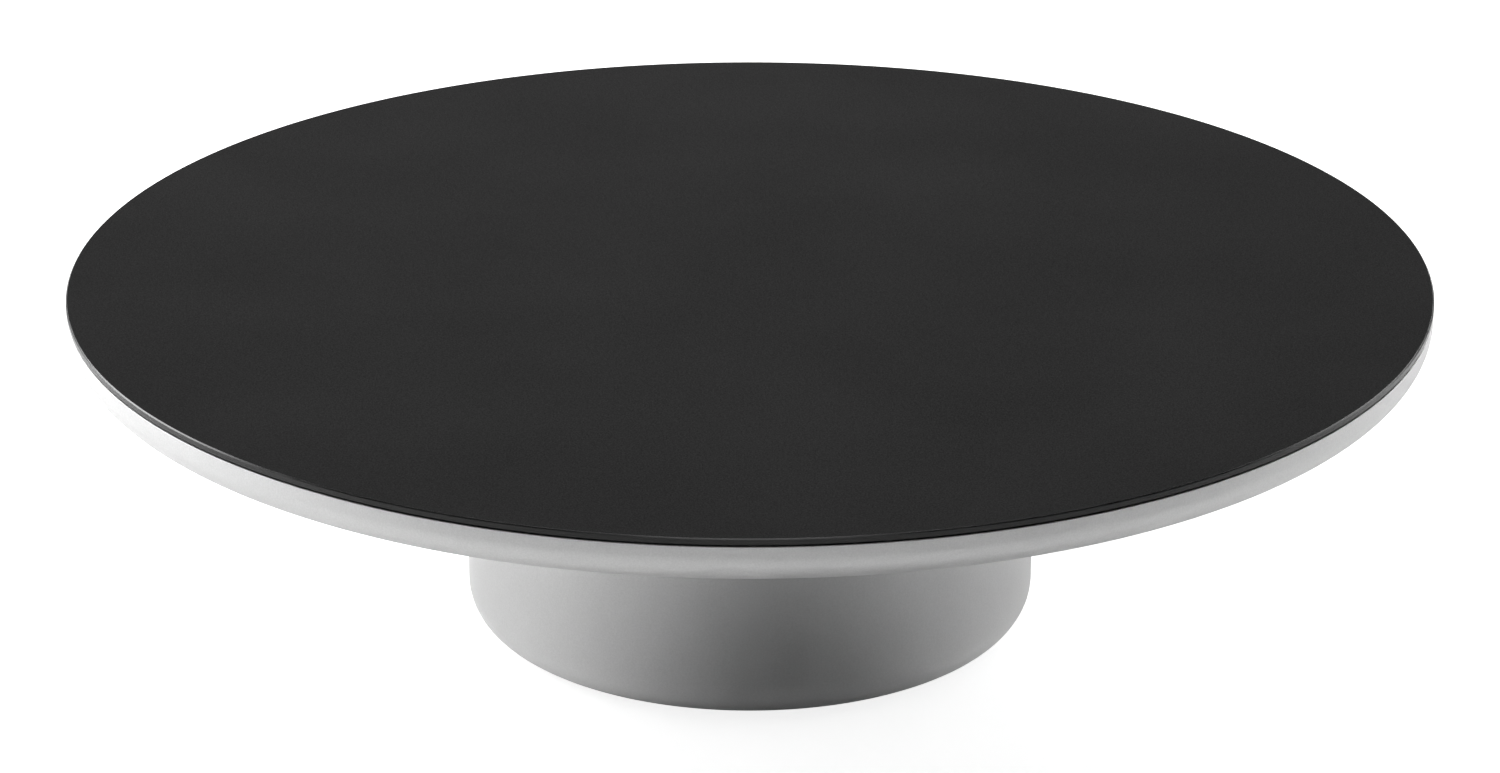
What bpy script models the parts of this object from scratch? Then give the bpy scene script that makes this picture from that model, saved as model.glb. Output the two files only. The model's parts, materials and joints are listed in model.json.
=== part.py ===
"""A low round pedestal coffee table: a dark glass disc over a shallow spun tray, on a weighted drum.

Units are metres. +Z is up, and the origin is on the floor below the centre of the table.
The feet are shown screwed right in.
"""

import math

import bmesh
import bpy
from mathutils import Vector

MM = 0.001
GAP = 0.3 * MM
CUT_OVERLAP = 1 * MM
MERGE_DISTANCE = 0.01 * MM

# Driving dimensions
TABLE_RADIUS = 600 * MM
TABLE_HEIGHT = 324 * MM
GLASS_THICKNESS = 6 * MM
SHADOW_GAP = 1 * MM
TRAY_DEPTH = 36 * MM
TRAY_CORNER = 27 * MM
TRAY_SHEET = 2.5 * MM
DRUM_RADIUS = 253 * MM
DRUM_CORNER = 37 * MM
DRUM_SHEET = 3 * MM
DRUM_CLEARANCE = 2.5 * MM
ARM_COUNT = 6
FOOT_COUNT = 4

# Glass and the pieces that hold it
GLASS_ARRIS = 1 * MM
GLASS_BOTTOM = TABLE_HEIGHT - GLASS_THICKNESS
GLASS_PAD_HEIGHT = 3.3 * MM
GLASS_PAD_RADIUS = 10 * MM
GLASS_PAD_CIRCLES = {"outer": 530 * MM, "inner": 250 * MM}
LOCATOR_RADIUS = 40 * MM
LOCATOR_THICKNESS = 5 * MM
SPIGOT_RADIUS = 12 * MM
SPIGOT_CLEARANCE = 0.6 * MM
SPIGOT_SETBACK = 1 * MM

# Tray and the spider inside it
TRAY_TOP = GLASS_BOTTOM - SHADOW_GAP
TRAY_BOTTOM = TRAY_TOP - TRAY_DEPTH
TRAY_LIP_CHAMFER = 0.6 * MM
PILOT_HOLE_RADIUS = 20 * MM
HUB_RADIUS = 150 * MM
HUB_THICKNESS = 6 * MM
HUB_BOTTOM = TRAY_BOTTOM + TRAY_SHEET + GAP
HUB_TOP = HUB_BOTTOM + HUB_THICKNESS
ARM_HEIGHT = 24 * MM
ARM_WIDTH = 24 * MM
ARM_WALL = 2 * MM
ARM_INNER_END = 62 * MM
ARM_END_CLEARANCE = 1.2 * MM
ARM_BOTTOM = HUB_TOP + GAP
RIM_RING_OUTER = 596 * MM
RIM_RING_SIDE = 12 * MM
RIM_RING_SETBACK = 1.6 * MM
RIM_RING_TOP = TRAY_TOP - RIM_RING_SETBACK

# Drum shell and column
DRUM_TOP_GAP = 3 * MM
DRUM_TOP = TRAY_BOTTOM - DRUM_TOP_GAP
DRUM_LIP_CHAMFER = 0.6 * MM
RETURN_INNER_RADIUS = 198 * MM
TOP_FLANGE_CLEARANCE = 1 * MM
TOP_FLANGE_RADIUS = DRUM_RADIUS - DRUM_SHEET - TOP_FLANGE_CLEARANCE
TOP_FLANGE_THICKNESS = 6 * MM
COLUMN_RADIUS = 57.15 * MM
COLUMN_WALL = 4 * MM
BOTTOM_FLANGE_RADIUS = 105 * MM
BOTTOM_FLANGE_THICKNESS = 10 * MM

# Weighted base
BASE_RING_INNER = 199 * MM
BASE_RING_OUTER = 213 * MM
BASE_RING_HEIGHT = 8 * MM
BASE_RING_BOTTOM = DRUM_CLEARANCE + DRUM_SHEET + GAP
BASE_PLATE_RADIUS = 214 * MM
BASE_PLATE_THICKNESS = 10 * MM
BASE_PLATE_BOTTOM = BASE_RING_BOTTOM + BASE_RING_HEIGHT + GAP
BASE_PLATE_TOP = BASE_PLATE_BOTTOM + BASE_PLATE_THICKNESS
BALLAST_INNER = 112 * MM
BALLAST_OUTER = 228 * MM
BALLAST_THICKNESS = 16 * MM
BALLAST_COUNT = 2
BALLAST_HOLE_RADIUS = 14 * MM

# Fasteners
TOP_BOLT = {"shank": 4 * MM, "across_flats": 13 * MM, "head": 5.3 * MM, "length": 16 * MM}
TOP_BOLT_CIRCLE = 115 * MM
COLUMN_BOLT = {"shank": 5 * MM, "across_flats": 16 * MM, "head": 6.4 * MM, "length": 19.5 * MM}
COLUMN_BOLT_CIRCLE = 84 * MM
COLUMN_BOLT_COUNT = 4
BOLT_HOLE_CLEARANCE = 0.5 * MM
SHELL_SCREW_CIRCLE = 206 * MM
SHELL_SCREW_COUNT = 4
SHELL_SCREW_SHANK = 2.5 * MM
SHELL_SCREW_HEAD = 4.6 * MM
SHELL_SCREW_LENGTH = 9.8 * MM
SHELL_SCREW_RECESS = 0.2 * MM
SHELL_HOLE_RADIUS = 2.9 * MM
COUNTERSINK_RADIUS = 5.1 * MM

# Levelling feet, M10
FOOT_CIRCLE = 178 * MM
FOOT_PAD_RADIUS = 18 * MM
FOOT_PAD_HEIGHT = 7 * MM
FOOT_PAD_CHAMFER = 1 * MM
FOOT_SOCKET_DEPTH = 4 * MM
STEM_RADIUS = 5 * MM
STEM_HOLE_RADIUS = 5.5 * MM
STEM_TOP = 52 * MM
COLLAR_ACROSS_FLATS = 13 * MM
COLLAR_HEIGHT = 5 * MM
COLLAR_CLEARANCE = 0.4 * MM
COLLAR_BOTTOM = FOOT_PAD_HEIGHT + COLLAR_CLEARANCE
INSERT_RADIUS = 9 * MM
INSERT_FLANGE_RADIUS = 13 * MM
INSERT_FLANGE_THICKNESS = 3 * MM
INSERT_HOLE_RADIUS = 9.7 * MM

# Facets round each kind of piece
STEPS_TOP = 72
STEPS_TRAY = 60
STEPS_DRUM = 48
STEPS_PLATE = 36
STEPS_SMALL = 12
STEPS_FOOT = 16
CORNER_SEGMENTS = 4
SHARP_ANGLE = math.radians(40)

PARTS_COLLECTION = "round_pedestal_coffee_table"
CUTTERS_COLLECTION = "cutters"


def clear_scene():
    for obj in list(bpy.data.objects):
        bpy.data.objects.remove(obj, do_unlink=True)
    for name in (PARTS_COLLECTION, CUTTERS_COLLECTION):
        bpy.context.scene.collection.children.link(bpy.data.collections.new(name))


def make_material(name, colour, roughness, metallic):
    material = bpy.data.materials.new(name)
    material.use_nodes = True
    shader = material.node_tree.nodes["Principled BSDF"]
    shader.inputs["Base Color"].default_value = (*colour, 1)
    shader.inputs["Roughness"].default_value = roughness
    shader.inputs["Metallic"].default_value = metallic
    return material


def make_materials():
    return {
        "etched_glass": make_material("etched_glass", (0.028, 0.028, 0.028), 0.55, 0),
        "satin_aluminium": make_material("satin_aluminium", (0.62, 0.62, 0.62), 0.4, 1),
        "mill_aluminium": make_material("mill_aluminium", (0.55, 0.55, 0.56), 0.35, 1),
        "frame_steel": make_material("frame_steel", (0.035, 0.035, 0.038), 0.6, 0),
        "zinc_steel": make_material("zinc_steel", (0.55, 0.55, 0.53), 0.35, 1),
        "ballast_iron": make_material("ballast_iron", (0.05, 0.05, 0.05), 0.75, 0.4),
        "clear_silicone": make_material("clear_silicone", (0.7, 0.7, 0.7), 0.5, 0),
        "foot_nylon": make_material("foot_nylon", (0.03, 0.03, 0.03), 0.6, 0),
    }


def add_object(name, data, material):
    """A new object of the table, in the table's collection."""
    obj = bpy.data.objects.new(name, data)
    bpy.data.collections[PARTS_COLLECTION].objects.link(obj)
    if material.name not in data.materials:
        data.materials.append(material)
    return obj


def make_cutter(name, mesh):
    cutter = bpy.data.objects.new(name, mesh)
    bpy.data.collections[CUTTERS_COLLECTION].objects.link(cutter)
    cutter.hide_render = True
    cutter.display_type = "WIRE"
    return cutter


def around(radius, count, turn=0.0):
    """Points evenly spaced on a circle about the Z axis, the first one at the angle turn."""
    angles = [turn + math.tau * i / count for i in range(count)]
    return [Vector((radius * math.cos(a), radius * math.sin(a), 0)) for a in angles]


def arc(centre, radius, start, end, segments):
    """Points (r, z) on an arc from the angle start to the angle end, in degrees, both ends included."""
    angles = [math.radians(start + (end - start) * i / segments) for i in range(segments + 1)]
    return [(centre[0] + radius * math.cos(a), centre[1] + radius * math.sin(a)) for a in angles]


def profile_mesh(name, profile):
    """A line of edges in the XZ plane. It closes on itself unless it starts and ends on the Z axis."""
    mesh = bpy.data.meshes.new(name)
    count = len(profile)
    edges = [(i, i + 1) for i in range(count - 1)]
    if profile[0][0] > 0:
        edges.append((count - 1, 0))
    mesh.from_pydata([(r, 0, z) for r, z in profile], edges, [])
    return mesh


def add_turning(obj, steps):
    screw = obj.modifiers.new("turn", "SCREW")
    screw.axis = "Z"
    screw.angle = math.tau
    screw.steps = steps
    screw.render_steps = steps
    screw.use_smooth_shade = True
    screw.use_merge_vertices = True
    screw.merge_threshold = MERGE_DISTANCE


def turned(name, profile, steps, material):
    """A turned piece from (r, z) points that run down its outer side."""
    obj = add_object(name, profile_mesh(name, profile), material)
    add_turning(obj, steps)
    return obj


def turned_cutter(name, profile, steps):
    cutter = make_cutter(name, profile_mesh(name, profile))
    add_turning(cutter, steps)
    return cutter


def disc_profile(radius, bottom, top):
    return [(0, top), (radius, top), (radius, bottom), (0, bottom)]


def ring_profile(inner, outer, bottom, top):
    return [(outer, top), (outer, bottom), (inner, bottom), (inner, top)]


def add_boolean(obj, cutter, operation="DIFFERENCE"):
    boolean = obj.modifiers.new(cutter.name, "BOOLEAN")
    boolean.object = cutter
    boolean.operation = operation
    boolean.solver = "EXACT"


def drill(obj, points, radius, bottom, top):
    """Cuts one round hole at each point, right through the piece between its faces at bottom and top."""
    mesh = bpy.data.meshes.new(obj.name + "_holes")
    bm = bmesh.new()
    for point in points:
        made = bmesh.ops.create_cone(
            bm,
            cap_ends=True,
            segments=STEPS_SMALL,
            radius1=radius,
            radius2=radius,
            depth=top - bottom + 2 * CUT_OVERLAP,
        )
        middle = Vector((point.x, point.y, (bottom + top) / 2))
        bmesh.ops.translate(bm, verts=made["verts"], vec=middle)
    bm.to_mesh(mesh)
    bm.free()
    add_boolean(obj, make_cutter(f"{obj.name}_holes_{len(obj.modifiers)}", mesh))


def hexagonal_cutter(name, across_flats, bottom, top):
    """A hexagonal prism on the Z axis."""
    mesh = bpy.data.meshes.new(name)
    bm = bmesh.new()
    corner = across_flats / math.sqrt(3)
    made = bmesh.ops.create_cone(
        bm, cap_ends=True, segments=6, radius1=corner, radius2=corner, depth=top - bottom
    )
    bmesh.ops.translate(bm, verts=made["verts"], vec=(0, 0, (bottom + top) / 2))
    bm.to_mesh(mesh)
    bm.free()
    return make_cutter(name, mesh)


def smoothed(mesh):
    mesh.shade_smooth()
    mesh.set_sharp_from_angle(angle=SHARP_ANGLE)
    return mesh


def finished_mesh(obj):
    """The evaluated mesh of a pattern object, which is then removed with its cutters."""
    bpy.context.view_layer.update()
    graph = bpy.context.evaluated_depsgraph_get()
    mesh = bpy.data.meshes.new_from_object(obj.evaluated_get(graph))
    cutters = [m.object for m in obj.modifiers if m.type == "BOOLEAN"]
    for used in [obj, *cutters]:
        bpy.data.objects.remove(used, do_unlink=True)
    return smoothed(mesh)


def add_copies(name, mesh, material, points):
    """One object for each point, all sharing the mesh."""
    for number, point in enumerate(points, start=1):
        copy = add_object(f"{name}_{number}", mesh, material)
        copy.location = (point.x, point.y, 0)


def bolt_mesh(bolt, under_head, material):
    """A hexagon-head bolt hanging from the height under_head."""
    shank = disc_profile(bolt["shank"], under_head - bolt["length"], under_head + bolt["head"] / 2)
    pattern = turned("bolt_pattern", shank, STEPS_SMALL, material)
    head = hexagonal_cutter("bolt_head", bolt["across_flats"], under_head, under_head + bolt["head"])
    add_boolean(pattern, head, "UNION")
    return finished_mesh(pattern)


def foot_points():
    return around(FOOT_CIRCLE, FOOT_COUNT, math.pi / FOOT_COUNT)


def top_bolt_points():
    return around(TOP_BOLT_CIRCLE, ARM_COUNT, math.pi / ARM_COUNT)


def make_top_plate(materials):
    radius, top, bottom = TABLE_RADIUS, TABLE_HEIGHT, GLASS_BOTTOM
    profile = [
        (0, top),
        (radius - GLASS_ARRIS, top),
        (radius, top - GLASS_ARRIS),
        (radius, bottom + GLASS_ARRIS),
        (radius - GLASS_ARRIS, bottom),
        (0, bottom),
    ]
    turned("top_plate", profile, STEPS_TOP, materials["etched_glass"])


def make_glass_locator(materials):
    """A disc bonded under the glass, with a spigot that centres it in the hub."""
    top = GLASS_BOTTOM - GAP
    shoulder = top - LOCATOR_THICKNESS
    spigot_bottom = HUB_BOTTOM + SPIGOT_SETBACK
    profile = [
        (0, top),
        (LOCATOR_RADIUS, top),
        (LOCATOR_RADIUS, shoulder),
        (SPIGOT_RADIUS, shoulder),
        (SPIGOT_RADIUS, spigot_bottom),
        (0, spigot_bottom),
    ]
    turned("glass_locating_disc", profile, STEPS_FOOT, materials["zinc_steel"])


def make_glass_pads(materials):
    top = GLASS_BOTTOM - GAP
    profile = disc_profile(GLASS_PAD_RADIUS, top - GLASS_PAD_HEIGHT, top)
    pattern = turned("pad_pattern", profile, STEPS_SMALL, materials["clear_silicone"])
    mesh = finished_mesh(pattern)
    for where, radius in GLASS_PAD_CIRCLES.items():
        points = around(radius, ARM_COUNT)
        add_copies(f"glass_pad_{where}", mesh, materials["clear_silicone"], points)


def make_tray_shell(materials):
    """The spun tray: a short upright wall that rolls round into a flat floor."""
    outer_centre = (TABLE_RADIUS - TRAY_CORNER, TRAY_BOTTOM + TRAY_CORNER)
    inner_corner = TRAY_CORNER - TRAY_SHEET
    inner_wall = TABLE_RADIUS - TRAY_SHEET
    profile = [
        (TABLE_RADIUS - TRAY_LIP_CHAMFER, TRAY_TOP),
        (TABLE_RADIUS, TRAY_TOP - TRAY_LIP_CHAMFER),
        *arc(outer_centre, TRAY_CORNER, 0, -90, CORNER_SEGMENTS),
        (PILOT_HOLE_RADIUS, TRAY_BOTTOM),
        (PILOT_HOLE_RADIUS, TRAY_BOTTOM + TRAY_SHEET),
        *arc(outer_centre, inner_corner, -90, 0, CORNER_SEGMENTS),
        (inner_wall, TRAY_TOP),
    ]
    tray = turned("tray_shell", profile, STEPS_TRAY, materials["satin_aluminium"])
    hole = TOP_BOLT["shank"] + BOLT_HOLE_CLEARANCE
    drill(tray, top_bolt_points(), hole, TRAY_BOTTOM, TRAY_BOTTOM + TRAY_SHEET)


def make_rim_ring(materials):
    inner = RIM_RING_OUTER - RIM_RING_SIDE
    profile = ring_profile(inner, RIM_RING_OUTER, RIM_RING_TOP - RIM_RING_SIDE, RIM_RING_TOP)
    turned("rim_ring", profile, STEPS_TRAY, materials["mill_aluminium"])


def make_spider_hub(materials):
    profile = ring_profile(SPIGOT_RADIUS + SPIGOT_CLEARANCE, HUB_RADIUS, HUB_BOTTOM, HUB_TOP)
    hub = turned("spider_hub", profile, STEPS_PLATE, materials["frame_steel"])
    hole = TOP_BOLT["shank"] + BOLT_HOLE_CLEARANCE
    drill(hub, top_bolt_points(), hole, HUB_BOTTOM, HUB_TOP)


def add_rectangle(curve, width, height):
    spline = curve.splines.new("POLY")
    spline.points.add(3)
    corners = ((-1, -1), (1, -1), (1, 1), (-1, 1))
    for point, (x, y) in zip(spline.points, corners):
        point.co = (x * width / 2, y * height / 2, 0, 1)
    spline.use_cyclic_u = True


def make_spider_arms(materials):
    """Square tubes that lie on the hub and reach out to the rim ring."""
    outer_end = RIM_RING_OUTER - RIM_RING_SIDE - ARM_END_CLEARANCE
    length = outer_end - ARM_INNER_END
    curve = bpy.data.curves.new("spider_arm", "CURVE")
    curve.dimensions = "2D"
    curve.fill_mode = "BOTH"
    curve.extrude = length / 2
    add_rectangle(curve, ARM_WIDTH, ARM_HEIGHT)
    add_rectangle(curve, ARM_WIDTH - 2 * ARM_WALL, ARM_HEIGHT - 2 * ARM_WALL)
    middles = around(ARM_INNER_END + length / 2, ARM_COUNT)
    for number, middle in enumerate(middles, start=1):
        arm = add_object(f"spider_arm_{number}", curve, materials["frame_steel"])
        arm.location = (middle.x, middle.y, ARM_BOTTOM + ARM_HEIGHT / 2)
        arm.rotation_euler = middle.to_track_quat("Z", "Y").to_euler()


def make_top_bolts(materials):
    mesh = bolt_mesh(TOP_BOLT, HUB_TOP + GAP, materials["zinc_steel"])
    add_copies("top_bolt", mesh, materials["zinc_steel"], top_bolt_points())


def make_column(materials):
    """A tube between two flanges. The tray and hub bolt to the upper one, which also centres the top
    of the drum's shell, and the base plate bolts to the lower one."""
    steel = materials["frame_steel"]
    flange_top = TRAY_BOTTOM - GAP
    flange_bottom = flange_top - TOP_FLANGE_THICKNESS
    foot_bottom = BASE_PLATE_TOP + GAP
    foot_top = foot_bottom + BOTTOM_FLANGE_THICKNESS
    upper = turned(
        "column_top_flange", disc_profile(TOP_FLANGE_RADIUS, flange_bottom, flange_top), STEPS_DRUM, steel
    )
    upper_hole = TOP_BOLT["shank"] + BOLT_HOLE_CLEARANCE
    drill(upper, top_bolt_points(), upper_hole, flange_bottom, flange_top)
    tube = ring_profile(COLUMN_RADIUS - COLUMN_WALL, COLUMN_RADIUS, foot_top + GAP, flange_bottom - GAP)
    turned("column_tube", tube, STEPS_PLATE, steel)
    lower = turned(
        "column_bottom_flange", disc_profile(BOTTOM_FLANGE_RADIUS, foot_bottom, foot_top), STEPS_PLATE, steel
    )
    lower_hole = COLUMN_BOLT["shank"] + BOLT_HOLE_CLEARANCE
    points = around(COLUMN_BOLT_CIRCLE, COLUMN_BOLT_COUNT)
    drill(lower, points, lower_hole, foot_bottom, foot_top)
    mesh = bolt_mesh(COLUMN_BOLT, foot_top + GAP, materials["zinc_steel"])
    add_copies("column_bolt", mesh, materials["zinc_steel"], points)


def countersunk_profile(head, shank, bottom, top):
    """A cone whose wide end, at the bottom, has the radius head, with a shank above it."""
    return [(0, top), (shank, top), (shank, bottom + head - shank), (head, bottom), (0, bottom)]


def make_drum_shell(materials):
    """The drum: an upright wall that is open at its top and rolled under at the floor."""
    centre = (DRUM_RADIUS - DRUM_CORNER, DRUM_CLEARANCE + DRUM_CORNER)
    profile = [
        (DRUM_RADIUS - DRUM_LIP_CHAMFER, DRUM_TOP),
        (DRUM_RADIUS, DRUM_TOP - DRUM_LIP_CHAMFER),
        *arc(centre, DRUM_CORNER, 0, -90, CORNER_SEGMENTS),
        (RETURN_INNER_RADIUS, DRUM_CLEARANCE),
        (RETURN_INNER_RADIUS, DRUM_CLEARANCE + DRUM_SHEET),
        *arc(centre, DRUM_CORNER - DRUM_SHEET, -90, 0, CORNER_SEGMENTS),
        (DRUM_RADIUS - DRUM_SHEET, DRUM_TOP),
    ]
    shell = turned("drum_shell", profile, STEPS_DRUM, materials["satin_aluminium"])
    hole = countersunk_profile(
        COUNTERSINK_RADIUS + CUT_OVERLAP,
        SHELL_HOLE_RADIUS,
        DRUM_CLEARANCE - CUT_OVERLAP,
        DRUM_CLEARANCE + DRUM_SHEET + CUT_OVERLAP,
    )
    for number, point in enumerate(around(SHELL_SCREW_CIRCLE, SHELL_SCREW_COUNT), start=1):
        cutter = turned_cutter(f"countersink_{number}", hole, STEPS_SMALL)
        cutter.location = point
        add_boolean(shell, cutter)


def make_base_ring(materials):
    top = BASE_RING_BOTTOM + BASE_RING_HEIGHT
    profile = ring_profile(BASE_RING_INNER, BASE_RING_OUTER, BASE_RING_BOTTOM, top)
    ring = turned("base_ring", profile, STEPS_DRUM, materials["frame_steel"])
    points = around(SHELL_SCREW_CIRCLE, SHELL_SCREW_COUNT)
    drill(ring, points, SHELL_HOLE_RADIUS, BASE_RING_BOTTOM, top)


def make_base_plate(materials):
    profile = disc_profile(BASE_PLATE_RADIUS, BASE_PLATE_BOTTOM, BASE_PLATE_TOP)
    plate = turned("base_plate", profile, STEPS_DRUM, materials["frame_steel"])
    drill(plate, foot_points(), INSERT_HOLE_RADIUS, BASE_PLATE_BOTTOM, BASE_PLATE_TOP)
    bolt_hole = COLUMN_BOLT["shank"] + BOLT_HOLE_CLEARANCE
    bolt_points = around(COLUMN_BOLT_CIRCLE, COLUMN_BOLT_COUNT)
    drill(plate, bolt_points, bolt_hole, BASE_PLATE_BOTTOM, BASE_PLATE_TOP)


def make_ballast(materials):
    """Iron rings stacked on the base plate, with holes that clear the stems of the feet."""
    for number in range(1, BALLAST_COUNT + 1):
        bottom = BASE_PLATE_TOP + GAP + (number - 1) * (BALLAST_THICKNESS + GAP)
        top = bottom + BALLAST_THICKNESS
        profile = ring_profile(BALLAST_INNER, BALLAST_OUTER, bottom, top)
        ring = turned(f"ballast_ring_{number}", profile, STEPS_PLATE, materials["ballast_iron"])
        drill(ring, foot_points(), BALLAST_HOLE_RADIUS, bottom, top)


def make_shell_screws(materials):
    """Countersunk screws that hold the drum's rolled-under edge to the base ring."""
    bottom = DRUM_CLEARANCE + SHELL_SCREW_RECESS
    top = bottom + SHELL_SCREW_LENGTH
    profile = countersunk_profile(SHELL_SCREW_HEAD, SHELL_SCREW_SHANK, bottom, top)
    mesh = finished_mesh(turned("screw_pattern", profile, STEPS_SMALL, materials["zinc_steel"]))
    points = around(SHELL_SCREW_CIRCLE, SHELL_SCREW_COUNT)
    add_copies("shell_screw", mesh, materials["zinc_steel"], points)


def make_foot_inserts(materials):
    """Threaded bushes that hang by their flanges in the base plate."""
    flange_bottom = BASE_PLATE_TOP + GAP
    profile = [
        (INSERT_FLANGE_RADIUS, flange_bottom + INSERT_FLANGE_THICKNESS),
        (INSERT_FLANGE_RADIUS, flange_bottom),
        (INSERT_RADIUS, flange_bottom),
        (INSERT_RADIUS, BASE_PLATE_BOTTOM + GAP),
        (STEM_HOLE_RADIUS, BASE_PLATE_BOTTOM + GAP),
        (STEM_HOLE_RADIUS, flange_bottom + INSERT_FLANGE_THICKNESS),
    ]
    mesh = finished_mesh(turned("insert_pattern", profile, STEPS_SMALL, materials["zinc_steel"]))
    add_copies("foot_insert", mesh, materials["zinc_steel"], foot_points())


def make_foot_pads(materials):
    """Nylon pads that stand on the floor, each with a socket for the end of its stem."""
    profile = [
        (FOOT_PAD_RADIUS - FOOT_PAD_CHAMFER, FOOT_PAD_HEIGHT),
        (FOOT_PAD_RADIUS, FOOT_PAD_HEIGHT - FOOT_PAD_CHAMFER),
        (FOOT_PAD_RADIUS, FOOT_PAD_CHAMFER),
        (FOOT_PAD_RADIUS - FOOT_PAD_CHAMFER, 0),
        (0, 0),
    ]
    socket_floor = FOOT_PAD_HEIGHT - FOOT_SOCKET_DEPTH
    socket = [(0, socket_floor), (STEM_HOLE_RADIUS, socket_floor), (STEM_HOLE_RADIUS, FOOT_PAD_HEIGHT)]
    pattern = turned("foot_pattern", [*socket, *profile], STEPS_FOOT, materials["foot_nylon"])
    mesh = finished_mesh(pattern)
    add_copies("foot_pad", mesh, materials["foot_nylon"], foot_points())


def make_foot_stems(materials):
    """Threaded stems with a hexagonal collar for a spanner, standing in the pads."""
    bottom = FOOT_PAD_HEIGHT - FOOT_SOCKET_DEPTH + GAP
    rod = disc_profile(STEM_RADIUS, bottom, STEM_TOP)
    pattern = turned("stem_pattern", rod, STEPS_SMALL, materials["zinc_steel"])
    collar = hexagonal_cutter(
        "stem_collar", COLLAR_ACROSS_FLATS, COLLAR_BOTTOM, COLLAR_BOTTOM + COLLAR_HEIGHT
    )
    add_boolean(pattern, collar, "UNION")
    mesh = finished_mesh(pattern)
    add_copies("foot_stem", mesh, materials["zinc_steel"], foot_points())


def shade_turned_pieces():
    """Lets the large flat faces of each turned piece look flat beside its round ones."""
    for obj in bpy.data.collections[PARTS_COLLECTION].objects:
        if "turn" in obj.modifiers:
            obj.modifiers.new("face_normals", "WEIGHTED_NORMAL")


def main():
    clear_scene()
    materials = make_materials()
    for make in (
        make_top_plate,
        make_glass_locator,
        make_glass_pads,
        make_tray_shell,
        make_rim_ring,
        make_spider_hub,
        make_spider_arms,
        make_top_bolts,
        make_column,
        make_drum_shell,
        make_base_ring,
        make_base_plate,
        make_ballast,
        make_shell_screws,
        make_foot_inserts,
        make_foot_pads,
        make_foot_stems,
    ):
        make(materials)
    shade_turned_pieces()


main()
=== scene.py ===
"""Looks of the low round pedestal coffee table: fine meshes, materials, light and camera.

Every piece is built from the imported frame's own sizes, in metres, and stands in for the CAD node
of the same name. Most pieces are turned: an outline of corners, each with a fillet, spun about an
axis.
"""

import json
import math

import bmesh
import bpy
from mathutils import Matrix, Vector


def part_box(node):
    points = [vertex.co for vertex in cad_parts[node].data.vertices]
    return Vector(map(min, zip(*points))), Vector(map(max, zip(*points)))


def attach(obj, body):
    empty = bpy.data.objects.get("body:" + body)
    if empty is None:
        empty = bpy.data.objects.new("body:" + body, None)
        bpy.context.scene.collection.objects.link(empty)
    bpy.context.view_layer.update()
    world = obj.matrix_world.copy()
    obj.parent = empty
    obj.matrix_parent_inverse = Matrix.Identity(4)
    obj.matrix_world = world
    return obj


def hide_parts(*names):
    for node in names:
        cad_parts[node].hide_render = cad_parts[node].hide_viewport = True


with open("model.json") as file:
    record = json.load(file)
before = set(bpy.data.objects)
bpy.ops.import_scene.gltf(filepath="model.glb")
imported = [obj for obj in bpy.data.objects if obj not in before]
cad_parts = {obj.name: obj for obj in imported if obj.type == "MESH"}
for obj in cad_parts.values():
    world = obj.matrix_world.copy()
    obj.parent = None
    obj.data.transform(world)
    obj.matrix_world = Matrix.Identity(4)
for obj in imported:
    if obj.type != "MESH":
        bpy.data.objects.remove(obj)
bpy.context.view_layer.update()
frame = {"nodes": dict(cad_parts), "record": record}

MM = 0.001
RECORD = frame["record"]
BODY_OF = {node: body for body, nodes in RECORD["behaviour"]["bodies"].items() for node in nodes}

# Details that a node's box doesn't give
GLASS_ARRIS = 1 * MM
GLASS_ARRIS_FILLET = 0.25 * MM
GLASS_RINGS = (0.25, 0.5, 0.75, 0.95)  # shares of the radius, so that no face is a long wedge
FLAT_FACE = 0.999  # a flat face's normal points up or down by at least this
GLASS_PAD_FILLET = 0.8 * MM
TRAY_CORNER = 27 * MM
TRAY_SHEET = 2.5 * MM
TRAY_LIP_FILLET = 0.6 * MM
DRUM_CORNER = 37 * MM
DRUM_SHEET = 3 * MM
DRUM_LIP_FILLET = 0.6 * MM
EDGE_FILLET = 0.5 * MM
LOCATOR_THICKNESS = 5 * MM
SPIGOT_RADIUS = 12 * MM
ARM_WALL = 2 * MM
ARM_CORNER = 3 * MM
TOP_BOLT = {"radius": 4 * MM, "pitch": 1.25 * MM, "across_flats": 13 * MM, "head": 5.3 * MM}
COLUMN_BOLT = {"radius": 5 * MM, "pitch": 1.5 * MM, "across_flats": 16 * MM, "head": 6.4 * MM}
BOLT_HOLE_CLEARANCE = 0.5 * MM
SHELL_SCREW = {"radius": 2.5 * MM, "pitch": 0.8 * MM, "head_radius": 4.6 * MM}
SHELL_SCREW_NECK = 0.3 * MM  # how much thinner the head's neck is than the thread
SOCKET_ACROSS_FLATS = 3 * MM
SOCKET_DEPTH = 2 * MM
SHELL_HOLE_RADIUS = 2.9 * MM
COUNTERSINK_RADIUS = 5.1 * MM
INSERT_HOLE_RADIUS = 9.7 * MM
INSERT_RADIUS = 9 * MM
INSERT_FLANGE_THICKNESS = 3 * MM
INSERT_CORNER_FILLET = 0.2 * MM
BALLAST_HOLE_RADIUS = 14 * MM
STEM = {"radius": 5 * MM, "pitch": 1.5 * MM, "across_flats": 13 * MM, "collar": 5 * MM}
STEM_HOLE_RADIUS = 5.5 * MM
COLLAR_CLEARANCE = 0.4 * MM
FOOT_SOCKET_DEPTH = 4 * MM
FOOT_TOP_SHARE = 0.45
FOOT_SHOULDER = 3 * MM
FOOT_FILLET = 1 * MM
FOOT_GROOVE = 0.6 * MM
FOOT_GROOVE_SHARES = (0.8, 0.65)
CUT_OVERLAP = 1 * MM
JOIN_OVERLAP = 1 * MM

# Hexagons: where the chamfer starts, as a share of the distance across flats, and its slope
CHAMFER_START = 0.475
CHAMFER_SLOPE = math.radians(30)

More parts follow.
